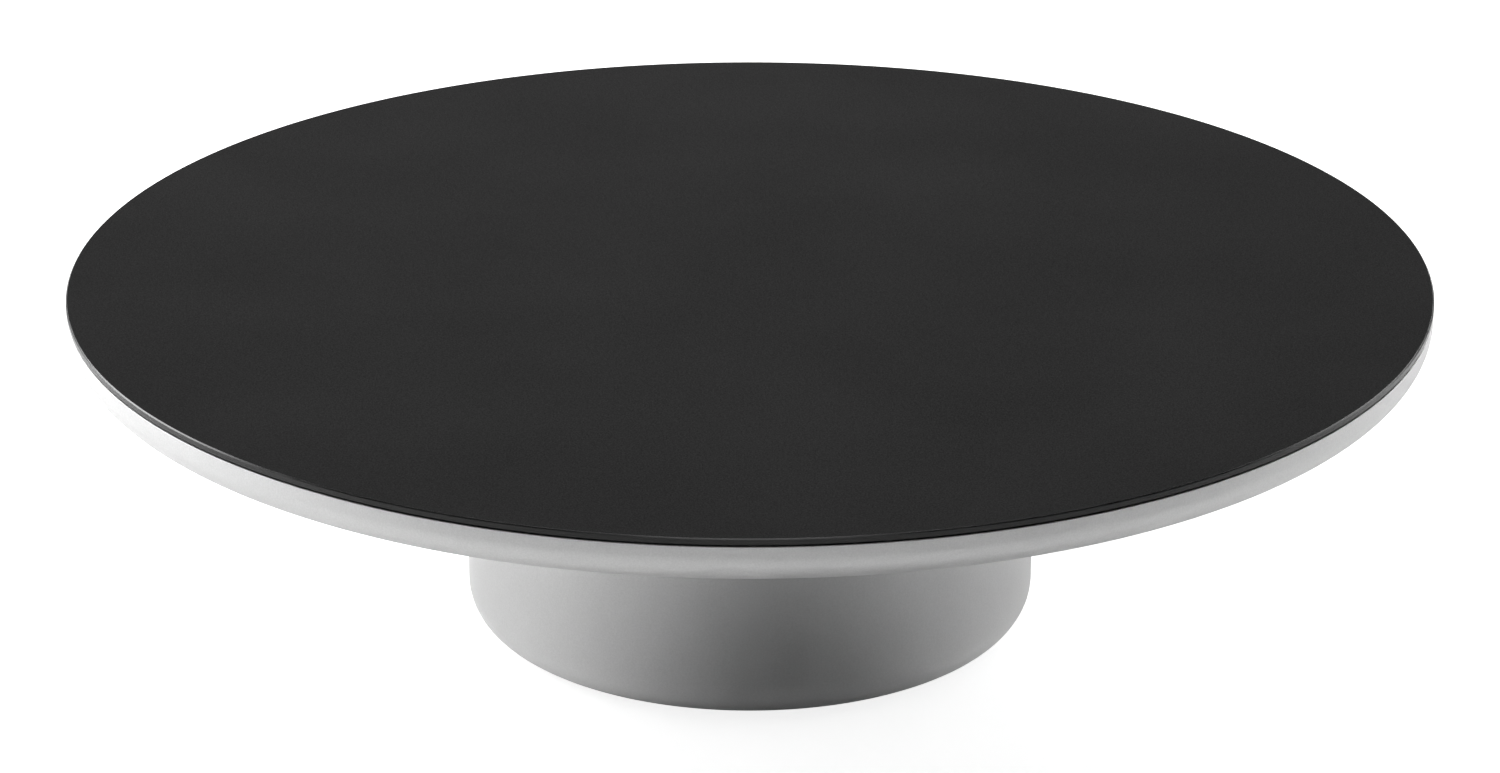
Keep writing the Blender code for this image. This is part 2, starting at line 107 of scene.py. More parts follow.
# Threads, as shares of the pitch
THREAD_DEPTH = 0.6
THREAD_CREST = (0.4, 0.52)
THREAD_ROOT = 0.92
THREAD_LEAD = 1.5
ROD_CHAMFER_DEPTH = 0.75

# Rods
SPARE_TURNS = 2
ENVELOPE_CLEARANCE = 0.1 * MM

# How finely pieces are turned
STEPS_LARGE = 384
STEPS_MEDIUM = 256
STEPS_PLATE = 128
STEPS_SMALL = 48
STEPS_HOLE = 32
FINE_SEGMENTS = 3
COARSE_SEGMENTS = 20
LARGE_FILLET = 10 * MM
SHARP_ANGLE = math.radians(35)
MERGE_DISTANCE = 0.001 * MM

# Start angles that keep the facets of a cut or joined surface from lying in another's
QUARTER_FACET = 0.5 * math.pi / STEPS_SMALL
HALF_FACET = math.pi / STEPS_SMALL
SIXTH_FACET = math.pi / STEPS_SMALL / 3


# Outlines and meshes


def filleted(before, corner, after, radius):
    """Points of the arc that rounds one corner of an outline."""
    into = (before - corner).normalized()
    out = (after - corner).normalized()
    half = into.angle(out) / 2
    centre = corner + (into + out).normalized() * radius / math.sin(half)
    first = corner + into * radius / math.tan(half) - centre
    last = corner + out * radius / math.tan(half) - centre
    start = math.atan2(first.y, first.x)
    sweep = math.remainder(math.atan2(last.y, last.x) - start, math.tau)
    segments = COARSE_SEGMENTS if radius > LARGE_FILLET else FINE_SEGMENTS
    angles = [start + sweep * i / segments for i in range(segments + 1)]
    return [(centre.x + radius * math.cos(a), centre.y + radius * math.sin(a)) for a in angles]


def outline(corners):
    """Points (r, z) from corners (r, z, fillet). One on the axis, or with no fillet, is sharp."""
    spots = [Vector((r, z)) for r, z, _ in corners]
    points = []
    for i, (r, z, fillet) in enumerate(corners):
        if r == 0 or fillet == 0:
            points.append((r, z))
        else:
            after = spots[(i + 1) % len(spots)]
            points += filleted(spots[i - 1], spots[i], after, fillet)
    return points


def disc_corners(radius, bottom, top, fillet=EDGE_FILLET):
    return [(0, top, 0), (radius, top, fillet), (radius, bottom, fillet), (0, bottom, 0)]


def ring_corners(inner, outer, bottom, top, fillet=EDGE_FILLET):
    return [
        (outer, top, fillet),
        (outer, bottom, fillet),
        (inner, bottom, fillet),
        (inner, top, fillet),
    ]


def link(name, data):
    obj = bpy.data.objects.new(name, data)
    bpy.context.scene.collection.objects.link(obj)
    return obj


def turned(name, corners, steps, start=0.0):
    """A pattern turned about Z from corners that run down its outer side.

    Its first facet starts at the given angle.
    """
    points = outline(corners)
    edges = [(i, i + 1) for i in range(len(points) - 1)]
    if points[0][0] > 0:
        edges.append((len(points) - 1, 0))
    mesh = bpy.data.meshes.new(name)
    x, y = math.cos(start), math.sin(start)
    mesh.from_pydata([(r * x, r * y, z) for r, z in points], edges, [])
    obj = link(name, mesh)
    screw = obj.modifiers.new("turn", "SCREW")
    screw.axis = "Z"
    screw.angle = math.tau
    screw.steps = steps
    screw.render_steps = steps
    screw.use_merge_vertices = True
    screw.merge_threshold = MERGE_DISTANCE
    return obj


def add_boolean(obj, other, operation):
    boolean = obj.modifiers.new(other.name, "BOOLEAN")
    boolean.object = other
    boolean.operation = operation
    boolean.solver = "EXACT"


def finished(pattern):
    """The pattern's shaded mesh. The pattern, and what cut or joined it, are then removed."""
    used = [m.object for m in pattern.modifiers if m.type == "BOOLEAN"]
    bpy.context.view_layer.update()
    graph = bpy.context.evaluated_depsgraph_get()
    mesh = bpy.data.meshes.new_from_object(pattern.evaluated_get(graph))
    for obj in [pattern, *used]:
        bpy.data.objects.remove(obj, do_unlink=True)
    mesh.shade_smooth()
    mesh.set_sharp_from_angle(angle=SHARP_ANGLE)
    mesh.materials.clear()
    return mesh


def prism(name, sides, radius, bottom, top, place=(0, 0)):
    """An upright prism whose corners are at the radius from its own axis."""
    bm = bmesh.new()
    made = bmesh.ops.create_cone(
        bm, cap_ends=True, segments=sides, radius1=radius, radius2=radius, depth=top - bottom
    )
    bmesh.ops.translate(bm, verts=made["verts"], vec=(place[0], place[1], (bottom + top) / 2))
    mesh = bpy.data.meshes.new(name)
    bm.to_mesh(mesh)
    bm.free()
    return link(name, mesh)


def drill(pattern, spots, radius, bottom, top):
    """Cuts a round hole at each spot, right through from the bottom to the top."""
    for number, spot in enumerate(spots):
        name = f"{pattern.name}_hole_{radius / MM:.1f}_{number}"
        tool = prism(name, STEPS_HOLE, radius, bottom - CUT_OVERLAP, top + CUT_OVERLAP, spot)
        add_boolean(pattern, tool, "DIFFERENCE")


def hexagon(name, across_flats, bottom, top, chamfered_ends):
    """A hexagonal head or collar. Its corners are turned away at the ends that are named."""
    corner = across_flats / math.sqrt(3)
    flat = CHAMFER_START * across_flats
    drop = (corner - flat) * math.tan(CHAMFER_SLOPE)
    envelope = [(0, top, 0), (corner + MM, top, 0), (corner + MM, bottom, 0), (0, bottom, 0)]
    if "top" in chamfered_ends:
        envelope[1:2] = [(flat, top, 0), (corner, top - drop, 0)]
    if "bottom" in chamfered_ends:
        envelope[-2:-1] = [(corner, bottom + drop, 0), (flat, bottom, 0)]
    body = prism(name, 6, corner, bottom, top)
    cutter = turned(f"{name}_envelope", envelope, STEPS_SMALL, QUARTER_FACET)
    add_boolean(body, cutter, "INTERSECT")
    return link(name, finished(body))


def thread_strip(bm, radius, pitch, bottom, turns):
    """A strip with a right-hand thread's section, wound upwards and merged along its edges."""
    root = radius - THREAD_DEPTH * pitch
    crest_start, crest_end = THREAD_CREST
    section = [
        (root, 0),
        (radius, crest_start),
        (radius, crest_end),
        (root, THREAD_ROOT),
        (root, 1),
    ]
    rows = []
    for step in range(turns * STEPS_SMALL + 1):
        angle = math.tau * step / STEPS_SMALL
        rise = bottom + pitch * step / STEPS_SMALL
        x, y = math.cos(angle), math.sin(angle)
        rows.append([bm.verts.new((r * x, r * y, rise + pitch * z)) for r, z in section])
    for low, high in zip(rows, rows[1:]):
        for i in range(len(section) - 1):
            bm.faces.new((low[i], high[i], high[i + 1], low[i + 1]))
    bmesh.ops.remove_doubles(bm, verts=bm.verts, dist=MERGE_DISTANCE)


def close_end(bm, height, above):
    """Fans the open edges on one side of a height to a point on the axis beyond them."""
    loose = [e for e in bm.edges if e.is_boundary]
    mine = [e for e in loose if (e.verts[0].co.z > height) == above]
    levels = [v.co.z for e in mine for v in e.verts]
    tip = bm.verts.new((0, 0, max(levels) + MM if above else min(levels) - MM))
    for edge in mine:
        bm.faces.new((*edge.verts, tip))


def threaded_rod(name, radius, pitch, bottom, top):
    """A threaded rod on the Z axis, with a chamfer at each end."""
    bm = bmesh.new()
    turns = math.ceil((top - bottom) / pitch) + SPARE_TURNS
    thread_strip(bm, radius, pitch, bottom - THREAD_LEAD * pitch, turns)
    close_end(bm, (bottom + top) / 2, True)
    close_end(bm, (bottom + top) / 2, False)
    bmesh.ops.recalc_face_normals(bm, faces=bm.faces)
    mesh = bpy.data.meshes.new(name)
    bm.to_mesh(mesh)
    bm.free()
    rod = link(name, mesh)
    tip = radius - ROD_CHAMFER_DEPTH * pitch
    cut = radius - tip + ENVELOPE_CLEARANCE
    envelope = [
        (0, top, 0),
        (tip, top, 0),
        (tip + cut, top - cut, 0),
        (tip + cut, bottom + cut, 0),
        (tip, bottom, 0),
        (0, bottom, 0),
    ]
    cutter = turned(f"{name}_envelope", envelope, STEPS_SMALL, HALF_FACET)
    add_boolean(rod, cutter, "INTERSECT")
    return link(name, finished(rod))


def add_piece(node, mesh, materials, place=(0, 0, 0)):
    """A detailed piece that shows instead of a CAD node, on that node's body."""
    piece = link(f"{node}_detailed", mesh)
    piece.location = place
    if not mesh.materials:
        for material in materials:
            mesh.materials.append(material)
    weighted = piece.modifiers.new("face_normals", "WEIGHTED_NORMAL")
    weighted.keep_sharp = True
    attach(piece, BODY_OF[node])
    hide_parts(node)
    return piece


def numbered(prefix):
    return [node for node in sorted(frame["nodes"]) if node.startswith(prefix + "_")]


def middle(node):
    """Where a node's own upright axis meets the floor."""
    low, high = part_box(node)
    return Vector(((low.x + high.x) / 2, (low.y + high.y) / 2, 0))


def add_copies(prefix, mesh, materials):
    """One piece for each numbered node, all sharing a mesh made on the Z axis."""
    for node in numbered(prefix):
        add_piece(node, mesh, materials, middle(node))


def heights(node):
    low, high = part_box(node)
    return low.z, high.z


def reach(node):
    """The largest distance of a node's surface from its own axis."""
    low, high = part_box(node)
    return (high.x - low.x) / 2


def bore(node):
    """The smallest distance of a node's corners from the table's axis."""
    return min(math.hypot(v.co.x, v.co.y) for v in frame["nodes"][node].data.vertices)


def places(prefix):
    """The places (x, y) of the numbered nodes' axes."""
    return [tuple(middle(node))[:2] for node in numbered(prefix)]


# The pieces that show


def make_glass(materials):
    bottom, top = heights("top_plate")
    radius = reach("top_plate")
    rings = [radius * share for share in GLASS_RINGS]
    corners = [
        (0, top, 0),
        *[(r, top, 0) for r in rings],
        (radius - GLASS_ARRIS, top, GLASS_ARRIS_FILLET),
        (radius, top - GLASS_ARRIS, GLASS_ARRIS_FILLET),
        (radius, bottom + GLASS_ARRIS, GLASS_ARRIS_FILLET),
        (radius - GLASS_ARRIS, bottom, GLASS_ARRIS_FILLET),
        *[(r, bottom, 0) for r in reversed(rings)],
        (0, bottom, 0),
    ]
    mesh = finished(turned("glass", corners, STEPS_LARGE))
    looks = [materials[name] for name in ("etched_glass", "polished_edge", "back_paint")]
    plate = add_piece("top_plate", mesh, looks)
    for face in plate.data.polygons:
        if face.normal.z < -FLAT_FACE:
            face.material_index = 2
        elif face.normal.z < FLAT_FACE:
            face.material_index = 1


def make_tray(materials):
    bottom, top = heights("tray_shell")
    radius = reach("tray_shell")
    hole = bore("tray_shell")
    floor = bottom + TRAY_SHEET
    wall = radius - TRAY_SHEET
    corners = [
        (radius, top, TRAY_LIP_FILLET),
        (radius, bottom, TRAY_CORNER),
        (hole, bottom, EDGE_FILLET),
        (hole, floor, EDGE_FILLET),
        (wall, floor, TRAY_CORNER - TRAY_SHEET),
        (wall, top, TRAY_LIP_FILLET),
    ]
    tray = turned("tray", corners, STEPS_LARGE)
    drill(tray, places("top_bolt"), TOP_BOLT["radius"] + BOLT_HOLE_CLEARANCE, bottom, floor)
    add_piece("tray_shell", finished(tray), [materials["tray_aluminium"]])


def countersunk_corners(head, shank, bottom, top, fillet=0):
    """A cone whose wide end is at the bottom, with a shank above it."""
    return [
        (0, top, 0),
        (shank, top, fillet),
        (shank, bottom + head - shank, 0),
        (head, bottom, fillet),
        (0, bottom, 0),
    ]


def make_drum(materials):
    bottom, top = heights("drum_shell")
    radius = reach("drum_shell")
    hole = bore("drum_shell")
    wall = radius - DRUM_SHEET
    corners = [
        (radius, top, DRUM_LIP_FILLET),
        (radius, bottom, DRUM_CORNER),
        (hole, bottom, EDGE_FILLET),
        (hole, bottom + DRUM_SHEET, EDGE_FILLET),
        (wall, bottom + DRUM_SHEET, DRUM_CORNER - DRUM_SHEET),
        (wall, top, DRUM_LIP_FILLET),
    ]
    drum = turned("drum", corners, STEPS_MEDIUM)
    tool_corners = countersunk_corners(
        COUNTERSINK_RADIUS + CUT_OVERLAP,
        SHELL_HOLE_RADIUS,
        bottom - CUT_OVERLAP,
        bottom + DRUM_SHEET + CUT_OVERLAP,
    )
    for number, place in enumerate(places("shell_screw")):
        tool = turned(f"countersink_{number}", tool_corners, STEPS_HOLE)
        tool.location = (*place, 0)
        add_boolean(drum, tool, "DIFFERENCE")
    add_piece("drum_shell", finished(drum), [materials["drum_aluminium"]])


# The pieces inside and below


def make_locator(materials):
    bottom, top = heights("glass_locating_disc")
    shoulder = top - LOCATOR_THICKNESS
    corners = [
        (0, top, 0),
        (reach("glass_locating_disc"), top, EDGE_FILLET),
        (reach("glass_locating_disc"), shoulder, EDGE_FILLET),
        (SPIGOT_RADIUS, shoulder, EDGE_FILLET),
        (SPIGOT_RADIUS, bottom, 2 * EDGE_FILLET),
        (0, bottom, 0),
    ]
    add_piece(
        "glass_locating_disc",
        finished(turned("locator", corners, STEPS_PLATE)),
        [materials["zinc_steel"]],
    )


def make_glass_pads(materials):
    node = "glass_pad_outer_1"
    bottom, top = heights(node)
    corners = disc_corners(reach(node), bottom, top, GLASS_PAD_FILLET)
    mesh = finished(turned("glass_pad", corners, STEPS_SMALL))
    add_copies("glass_pad_outer", mesh, [materials["clear_silicone"]])
    add_copies("glass_pad_inner", mesh, [materials["clear_silicone"]])


def make_plain_ring(node, material, steps):
    """Adds a ring or a tube with no holes in its wall."""
    bottom, top = heights(node)
    corners = ring_corners(bore(node), reach(node), bottom, top)
    add_piece(node, finished(turned(node + "_pattern", corners, steps)), [material])


def make_drilled_plate(node, material, steps, holes, inner=0.0):
    """Adds a flat disc or ring with holes, given as (places, radius) pairs."""
    bottom, top = heights(node)
    corners = disc_corners(reach(node), bottom, top)
    if inner:
        corners = ring_corners(inner, reach(node), bottom, top)
    plate = turned(node + "_pattern", corners, steps)
    for spots, radius in holes:
        drill(plate, spots, radius, bottom, top)
    add_piece(node, finished(plate), [material])


def make_plates(materials):
    steel = materials["frame_steel"]
    top_hole = TOP_BOLT["radius"] + BOLT_HOLE_CLEARANCE
    column_hole = COLUMN_BOLT["radius"] + BOLT_HOLE_CLEARANCE
    top_holes = [(places("top_bolt"), top_hole)]
    column_holes = [(places("column_bolt"), column_hole)]
    insert_holes = [(places("foot_insert"), INSERT_HOLE_RADIUS)]
    screw_holes = [(places("shell_screw"), SHELL_HOLE_RADIUS)]
    make_drilled_plate("spider_hub", steel, STEPS_PLATE, top_holes, bore("spider_hub"))
    make_drilled_plate("column_top_flange", steel, STEPS_MEDIUM, top_holes)
    make_drilled_plate("column_bottom_flange", steel, STEPS_PLATE, column_holes)
    make_drilled_plate("base_plate", steel, STEPS_MEDIUM, insert_holes + column_holes)
    make_drilled_plate("base_ring", steel, STEPS_MEDIUM, screw_holes, bore("base_ring"))
    make_plain_ring("column_tube", steel, STEPS_PLATE)
    make_plain_ring("rim_ring", materials["mill_aluminium"], STEPS_LARGE)
    for node in numbered("ballast_ring"):
        clearances = [(places("foot_insert"), BALLAST_HOLE_RADIUS)]
        make_drilled_plate(node, materials["ballast_iron"], STEPS_PLATE, clearances, bore(node))


def rounded_square(side, radius):
    """Points round a square with rounded corners, centred on the origin."""
    points = []
    for quarter in range(4):
        turn = math.pi / 2 * quarter
        centre = Vector((side / 2 - radius, side / 2 - radius))
        centre.rotate(Matrix.Rotation(turn, 2))
        for i in range(FINE_SEGMENTS + 1):
            angle = turn + math.pi / 2 * i / FINE_SEGMENTS
            x, y = radius * math.cos(angle), radius * math.sin(angle)
            points.append((centre.x + x, centre.y + y))
    return points


def arm_mesh(side, length):
    """A square tube along X, with rounded corners and open ends."""
    bm = bmesh.new()
    loops = []
    for size, radius in ((side, ARM_CORNER), (side - 2 * ARM_WALL, ARM_CORNER - ARM_WALL)):
        section = rounded_square(size, radius)
        for x in (-length / 2, length / 2):
            loops.append([bm.verts.new((x, y, z)) for y, z in section])
    outer_start, outer_end, inner_start, inner_end = loops
    count = len(outer_start)
    for one, other in (
        (outer_start, outer_end),
        (outer_end, inner_end),
        (inner_end, inner_start),
        (inner_start, outer_start),
    ):
        for i in range(count):
            j = (i + 1) % count
            bm.faces.new((one[i], other[i], other[j], one[j]))
    bmesh.ops.recalc_face_normals(bm, faces=bm.faces)
    mesh = bpy.data.meshes.new("arm")
    bm.to_mesh(mesh)
    bm.free()
    mesh.shade_smooth()
    mesh.set_sharp_from_angle(angle=SHARP_ANGLE)
    return mesh


def make_arms(materials):
    low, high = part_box("spider_arm_1")
    mesh = arm_mesh(high.z - low.z, high.x - low.x)
    for node in numbered("spider_arm"):
        centre = middle(node)
        centre.z = (low.z + high.z) / 2
        arm = add_piece(node, mesh, [materials["frame_steel"]], centre)
        arm.rotation_euler.z = math.atan2(centre.y, centre.x)


def bolt_mesh(name, bolt, bottom, top):
    """A hexagon-head bolt, threaded up to its head."""
    under_head = top - bolt["head"]
    rod = threaded_rod(name, bolt["radius"], bolt["pitch"], bottom, under_head + bolt["head"] / 2)
    head = hexagon(f"{name}_head", bolt["across_flats"], under_head, top, ("top",))
    add_boolean(rod, head, "UNION")
    return finished(rod)


def make_bolts(materials):
    for prefix, bolt in (("top_bolt", TOP_BOLT), ("column_bolt", COLUMN_BOLT)):
        bottom, top = heights(f"{prefix}_1")
        add_copies(prefix, bolt_mesh(prefix, bolt, bottom, top), [materials["zinc_steel"]])


def make_shell_screws(materials):
    bottom, top = heights("shell_screw_1")
    head, radius = SHELL_SCREW["head_radius"], SHELL_SCREW["radius"]
    cone = bottom + head - radius
    body = threaded_rod("shell_screw", radius, SHELL_SCREW["pitch"], bottom + JOIN_OVERLAP, top)
    neck = radius - SHELL_SCREW_NECK
    corners = countersunk_corners(head, neck, bottom, cone + JOIN_OVERLAP)
    add_boolean(body, turned("shell_screw_head", corners, STEPS_SMALL, SIXTH_FACET), "UNION")
    key_corner = SOCKET_ACROSS_FLATS / math.sqrt(3)
    key = prism("shell_screw_socket", 6, key_corner, bottom - CUT_OVERLAP, bottom + SOCKET_DEPTH)
    add_boolean(body, key, "DIFFERENCE")
    add_copies("shell_screw", finished(body), [materials["zinc_steel"]])


def make_inserts(materials):
    node = "foot_insert_1"
    bottom, top = heights(node)
    shoulder = top - INSERT_FLANGE_THICKNESS
    corners = [
        (reach(node), top, EDGE_FILLET),
        (reach(node), shoulder, EDGE_FILLET),
        (INSERT_RADIUS, shoulder, INSERT_CORNER_FILLET),
        (INSERT_RADIUS, bottom, EDGE_FILLET),
        (STEM_HOLE_RADIUS, bottom, EDGE_FILLET),
        (STEM_HOLE_RADIUS, top, EDGE_FILLET),
    ]
    mesh = finished(turned("foot_insert", corners, STEPS_SMALL))
    add_copies("foot_insert", mesh, [materials["zinc_steel"]])


def make_foot_pads(materials):
    """Moulded pads with a socket above, and two grooves round the face that grips the floor."""
    node = "foot_pad_1"
    bottom, top = heights(node)
    radius = reach(node)
    floor = top - FOOT_SOCKET_DEPTH
    corners = [
        (0, floor, 0),
        (STEM_HOLE_RADIUS, floor, EDGE_FILLET),
        (STEM_HOLE_RADIUS, top, EDGE_FILLET),
        (FOOT_TOP_SHARE * radius, top, EDGE_FILLET),
        (radius, top - FOOT_SHOULDER, FOOT_FILLET),
        (radius, bottom, FOOT_FILLET),
    ]
    for share in FOOT_GROOVE_SHARES:
        centre = share * radius
        corners += [
            (centre + FOOT_GROOVE, bottom, 0),
            (centre + FOOT_GROOVE / 2, bottom + FOOT_GROOVE, 0),
            (centre - FOOT_GROOVE / 2, bottom + FOOT_GROOVE, 0),
            (centre - FOOT_GROOVE, bottom, 0),
        ]
    corners.append((0, bottom, 0))
    mesh = finished(turned("foot_pad", corners, 2 * STEPS_SMALL))
    add_copies("foot_pad", mesh, [materials["foot_nylon"]])


def make_foot_stems(materials):
    """Levelling screws: a thread above a hexagonal collar, and a plain spigot below it."""
    bottom, top = heights("foot_stem_1")
    collar_bottom = heights("foot_pad_1")[1] + COLLAR_CLEARANCE
    collar_top = collar_bottom + STEM["collar"]
    thread_bottom = collar_top - JOIN_OVERLAP
    stem = threaded_rod("foot_stem", STEM["radius"], STEM["pitch"], thread_bottom, top)
    collar = hexagon(
        "foot_stem_collar", STEM["across_flats"], collar_bottom, collar_top, ("top", "bottom")
    )
    spigot = disc_corners(STEM["radius"], bottom, collar_bottom + JOIN_OVERLAP)
    add_boolean(stem, collar, "UNION")
    add_boolean(stem, turned("foot_stem_spigot", spigot, STEPS_SMALL), "UNION")
    add_copies("foot_stem", finished(stem), [materials["zinc_steel"]])


# Materials

NOISE_LOW, NOISE_HIGH = 0.3, 0.7


class Surface:
    """One material's Principled shader, with short ways to join nodes to it."""

    def __init__(self, name, **constants):
        self.material = bpy.data.materials.new(name)
        self.material.use_nodes = True
        self.tree = self.material.node_tree
        self.shader = self.tree.nodes["Principled BSDF"]
        self.place = self.tree.nodes.new("ShaderNodeTexCoord").outputs["Object"]
        for socket, value in constants.items():
            self.shader.inputs[socket.replace("_", " ")].default_value = value

    def noise(self, scale, detail=2.0, place=None):
        """Values about 0.5, with features of about 1 / scale metres."""
        node = self.tree.nodes.new("ShaderNodeTexNoise")
        node.inputs["Scale"].default_value = scale
        node.inputs["Detail"].default_value = detail
        self.tree.links.new(place or self.place, node.inputs["Vector"])
        return node.outputs["Fac"]

    def spread(self, value, low, high, start=NOISE_LOW, end=NOISE_HIGH):
        """Maps a noise's usual range to the range from low to high."""
        node = self.tree.nodes.new("ShaderNodeMapRange")
        node.inputs["From Min"].default_value = start
        node.inputs["From Max"].default_value = end
        node.inputs["To Min"].default_value = low
        node.inputs["To Max"].default_value = high
        self.tree.links.new(value, node.inputs["Value"])
        return node.outputs["Result"]

    def joined(self, operation, *values):
        """One Math node of numbers and other nodes' outputs."""
        node = self.tree.nodes.new("ShaderNodeMath")
        node.operation = operation
        for socket, value in zip(node.inputs, values):
            if isinstance(value, float):
                socket.default_value = value
            else:
                self.tree.links.new(value, socket)
        return node.outputs[0]

    def stretched(self, scale):
        """Object coordinates scaled by a different amount along each axis."""
        node = self.tree.nodes.new("ShaderNodeMapping")
        node.inputs["Scale"].default_value = scale
        self.tree.links.new(self.place, node.inputs["Vector"])
        return node.outputs["Vector"]

    def round_axis(self, along, across):
        """Coordinates (angle, radius, height) about Z, for a grain that runs round a piece."""
        split = self.tree.nodes.new("ShaderNodeSeparateXYZ")
        self.tree.links.new(self.place, split.inputs[0])
        x, y, z = split.outputs
        radius = self.joined("SQRT", self.joined("ADD", self.squared(x), self.squared(y)))
        combine = self.tree.nodes.new("ShaderNodeCombineXYZ")
        turn = self.joined("ARCTAN2", y, x)
        self.tree.links.new(self.joined("MULTIPLY", turn, along), combine.inputs[0])
        self.tree.links.new(self.joined("MULTIPLY", radius, across), combine.inputs[1])
        self.tree.links.new(self.joined("MULTIPLY", z, across), combine.inputs[2])
        return combine.outputs[0]

    def squared(self, value):
        return self.joined("MULTIPLY", value, value)

    def colour(self, factor, dark, light):
        node = self.tree.nodes.new("ShaderNodeMix")
        node.data_type = "RGBA"
        node.inputs[6].default_value = (*dark, 1)
        node.inputs[7].default_value = (*light, 1)
        self.tree.links.new(factor, node.inputs[0])
        self.tree.links.new(node.outputs[2], self.shader.inputs["Base Color"])

    def roughness(self, value):
        self.tree.links.new(value, self.shader.inputs["Roughness"])

    def bump(self, height, strength, distance):
        node = self.tree.nodes.new("ShaderNodeBump")
        node.inputs["Strength"].default_value = strength
        node.inputs["Distance"].default_value = distance
        self.tree.links.new(height, node.inputs["Height"])
        self.tree.links.new(node.outputs["Normal"], self.shader.inputs["Normal"])


def grey(value):
    return (value, value, value)


def etched_glass():
    """Satin-etched face of a sheet painted charcoal behind: very matt, with a fine even grain."""
    look = Surface("etched_glass", Specular_IOR_Level=0.0, IOR=1.5)
    grain = look.noise(800, 4)
    clouds = look.noise(5, 2)
    tone = look.joined("ADD", look.spread(grain, 0.0, 0.85), look.spread(clouds, 0.0, 0.15))
    look.colour(tone, grey(0.0120), grey(0.0300))
    look.roughness(look.spread(grain, 0.72, 0.86))
    look.bump(grain, 0.25, 0.05 * MM)
    return look.material


def polished_edge():
    """Ground and polished edge of the sheet, with the faint lines of the wheel along it."""
    look = Surface("polished_edge", Specular_IOR_Level=0.45, IOR=1.52)
    lines = look.noise(1, 2, look.round_axis(30.0, 2500.0))
    look.colour(look.spread(lines, 0, 1), grey(0.006), grey(0.010))
    look.roughness(look.spread(lines, 0.24, 0.34))
    look.bump(lines, 0.1, 0.02 * MM)
    return look.material


def back_paint():
    look = Surface("back_paint", Specular_IOR_Level=0.3)
    mottle = look.noise(160, 4)
    look.colour(look.spread(mottle, 0, 1), grey(0.014), grey(0.022))
    look.roughness(look.spread(mottle, 0.5, 0.65))
    look.bump(mottle, 0.15, 0.1 * MM)
    return look.material


def satin_aluminium(name, dark, light, smoothest, roughest):
    """Bead-blasted and clear anodised sheet: even, pale and satin, with a fine sparkle."""
    look = Surface(name, Metallic=1.0)
    grain = look.noise(700, 3)
    mottle = look.noise(35, 3)
    tone = look.joined("ADD", look.spread(grain, 0.0, 0.75), look.spread(mottle, 0.0, 0.25))
    look.colour(tone, grey(dark), grey(light))
    sparkle = look.spread(grain, -0.04, 0.04)
    look.roughness(look.joined("ADD", sparkle, look.spread(mottle, smoothest, roughest)))
    look.bump(grain, 0.6, 0.12 * MM)
    return look.material


def tray_aluminium():
    return satin_aluminium("tray_aluminium", 0.72, 0.83, 0.60, 0.66)


# The tray's satin aluminium with a darker tone, which is painted shade from the tray above the
# drum; a little smoother too
def drum_aluminium():
    return satin_aluminium("drum_aluminium", 0.57, 0.67, 0.47, 0.53)


def mill_aluminium():
    """Rolled bar as it left the mill, with fine lines along it."""
    look = Surface("mill_aluminium", Metallic=1.0)
    lines = look.noise(1, 3, look.round_axis(40.0, 1800.0))
    mottle = look.noise(60, 3)
    look.colour(look.spread(mottle, 0, 1), (0.50, 0.50, 0.51), (0.60, 0.60, 0.61))
    look.roughness(look.spread(lines, 0.28, 0.42))
    look.bump(lines, 0.3, 0.05 * MM)
    return look.material


def frame_steel():
    """Black powder coat, with its orange peel."""
    look = Surface("frame_steel", Specular_IOR_Level=0.45)
    peel = look.noise(420, 1.5)
    dust = look.noise(1500, 2)
    look.colour(look.spread(dust, 0, 1), (0.026, 0.026, 0.028), (0.042, 0.042, 0.045))
    look.roughness(look.spread(peel, 0.42, 0.56))
    look.bump(peel, 0.35, 0.12 * MM)
    return look.material


def zinc_steel():
    """Bright zinc plate, a little yellow and a little blue in places."""
    look = Surface("zinc_steel", Metallic=1.0)
    tint = look.noise(90, 3)
    grain = look.noise(1400, 2)
    look.colour(look.spread(tint, 0, 1), (0.56, 0.57, 0.60), (0.66, 0.65, 0.58))
    look.roughness(look.spread(grain, 0.24, 0.40))
    look.bump(grain, 0.15, 0.04 * MM)
    return look.material


def ballast_iron():
    """Sand-cast iron under a thin dark primer, with some bloom of rust."""
    look = Surface("ballast_iron", Metallic=0.0, Specular_IOR_Level=0.3)
    sand = look.noise(260, 6)
    bloom = look.noise(18, 4)
    rust = look.spread(bloom, 0, 1, 0.45, 0.75)
    look.colour(rust, (0.045, 0.044, 0.043), (0.085, 0.055, 0.038))
    look.roughness(look.spread(sand, 0.68, 0.9))
    look.bump(sand, 0.7, 0.5 * MM)
    return look.material


def clear_silicone():
    look = Surface(
        "clear_silicone",
        Specular_IOR_Level=0.4,
        Subsurface_Weight=0.4,
        Subsurface_Scale=2 * MM,
    )
    haze = look.noise(320, 3)
    look.colour(look.spread(haze, 0, 1), (0.62, 0.63, 0.63), (0.74, 0.75, 0.74))
    look.roughness(look.spread(haze, 0.35, 0.5))
    look.bump(haze, 0.1, 0.05 * MM)
    return look.material


def foot_nylon():
    """Moulded black nylon with a spark-eroded texture and pale scuffs."""
    look = Surface("foot_nylon", Specular_IOR_Level=0.4)
    texture = look.noise(700, 3)
    scuffs = look.noise(1, 4, look.stretched((240, 40, 240)))
    look.colour(look.spread(scuffs, 0, 1, 0.5, 0.8), grey(0.022), grey(0.06))
    look.roughness(look.spread(texture, 0.5, 0.66))
    look.bump(texture, 0.3, 0.06 * MM)
    return look.material


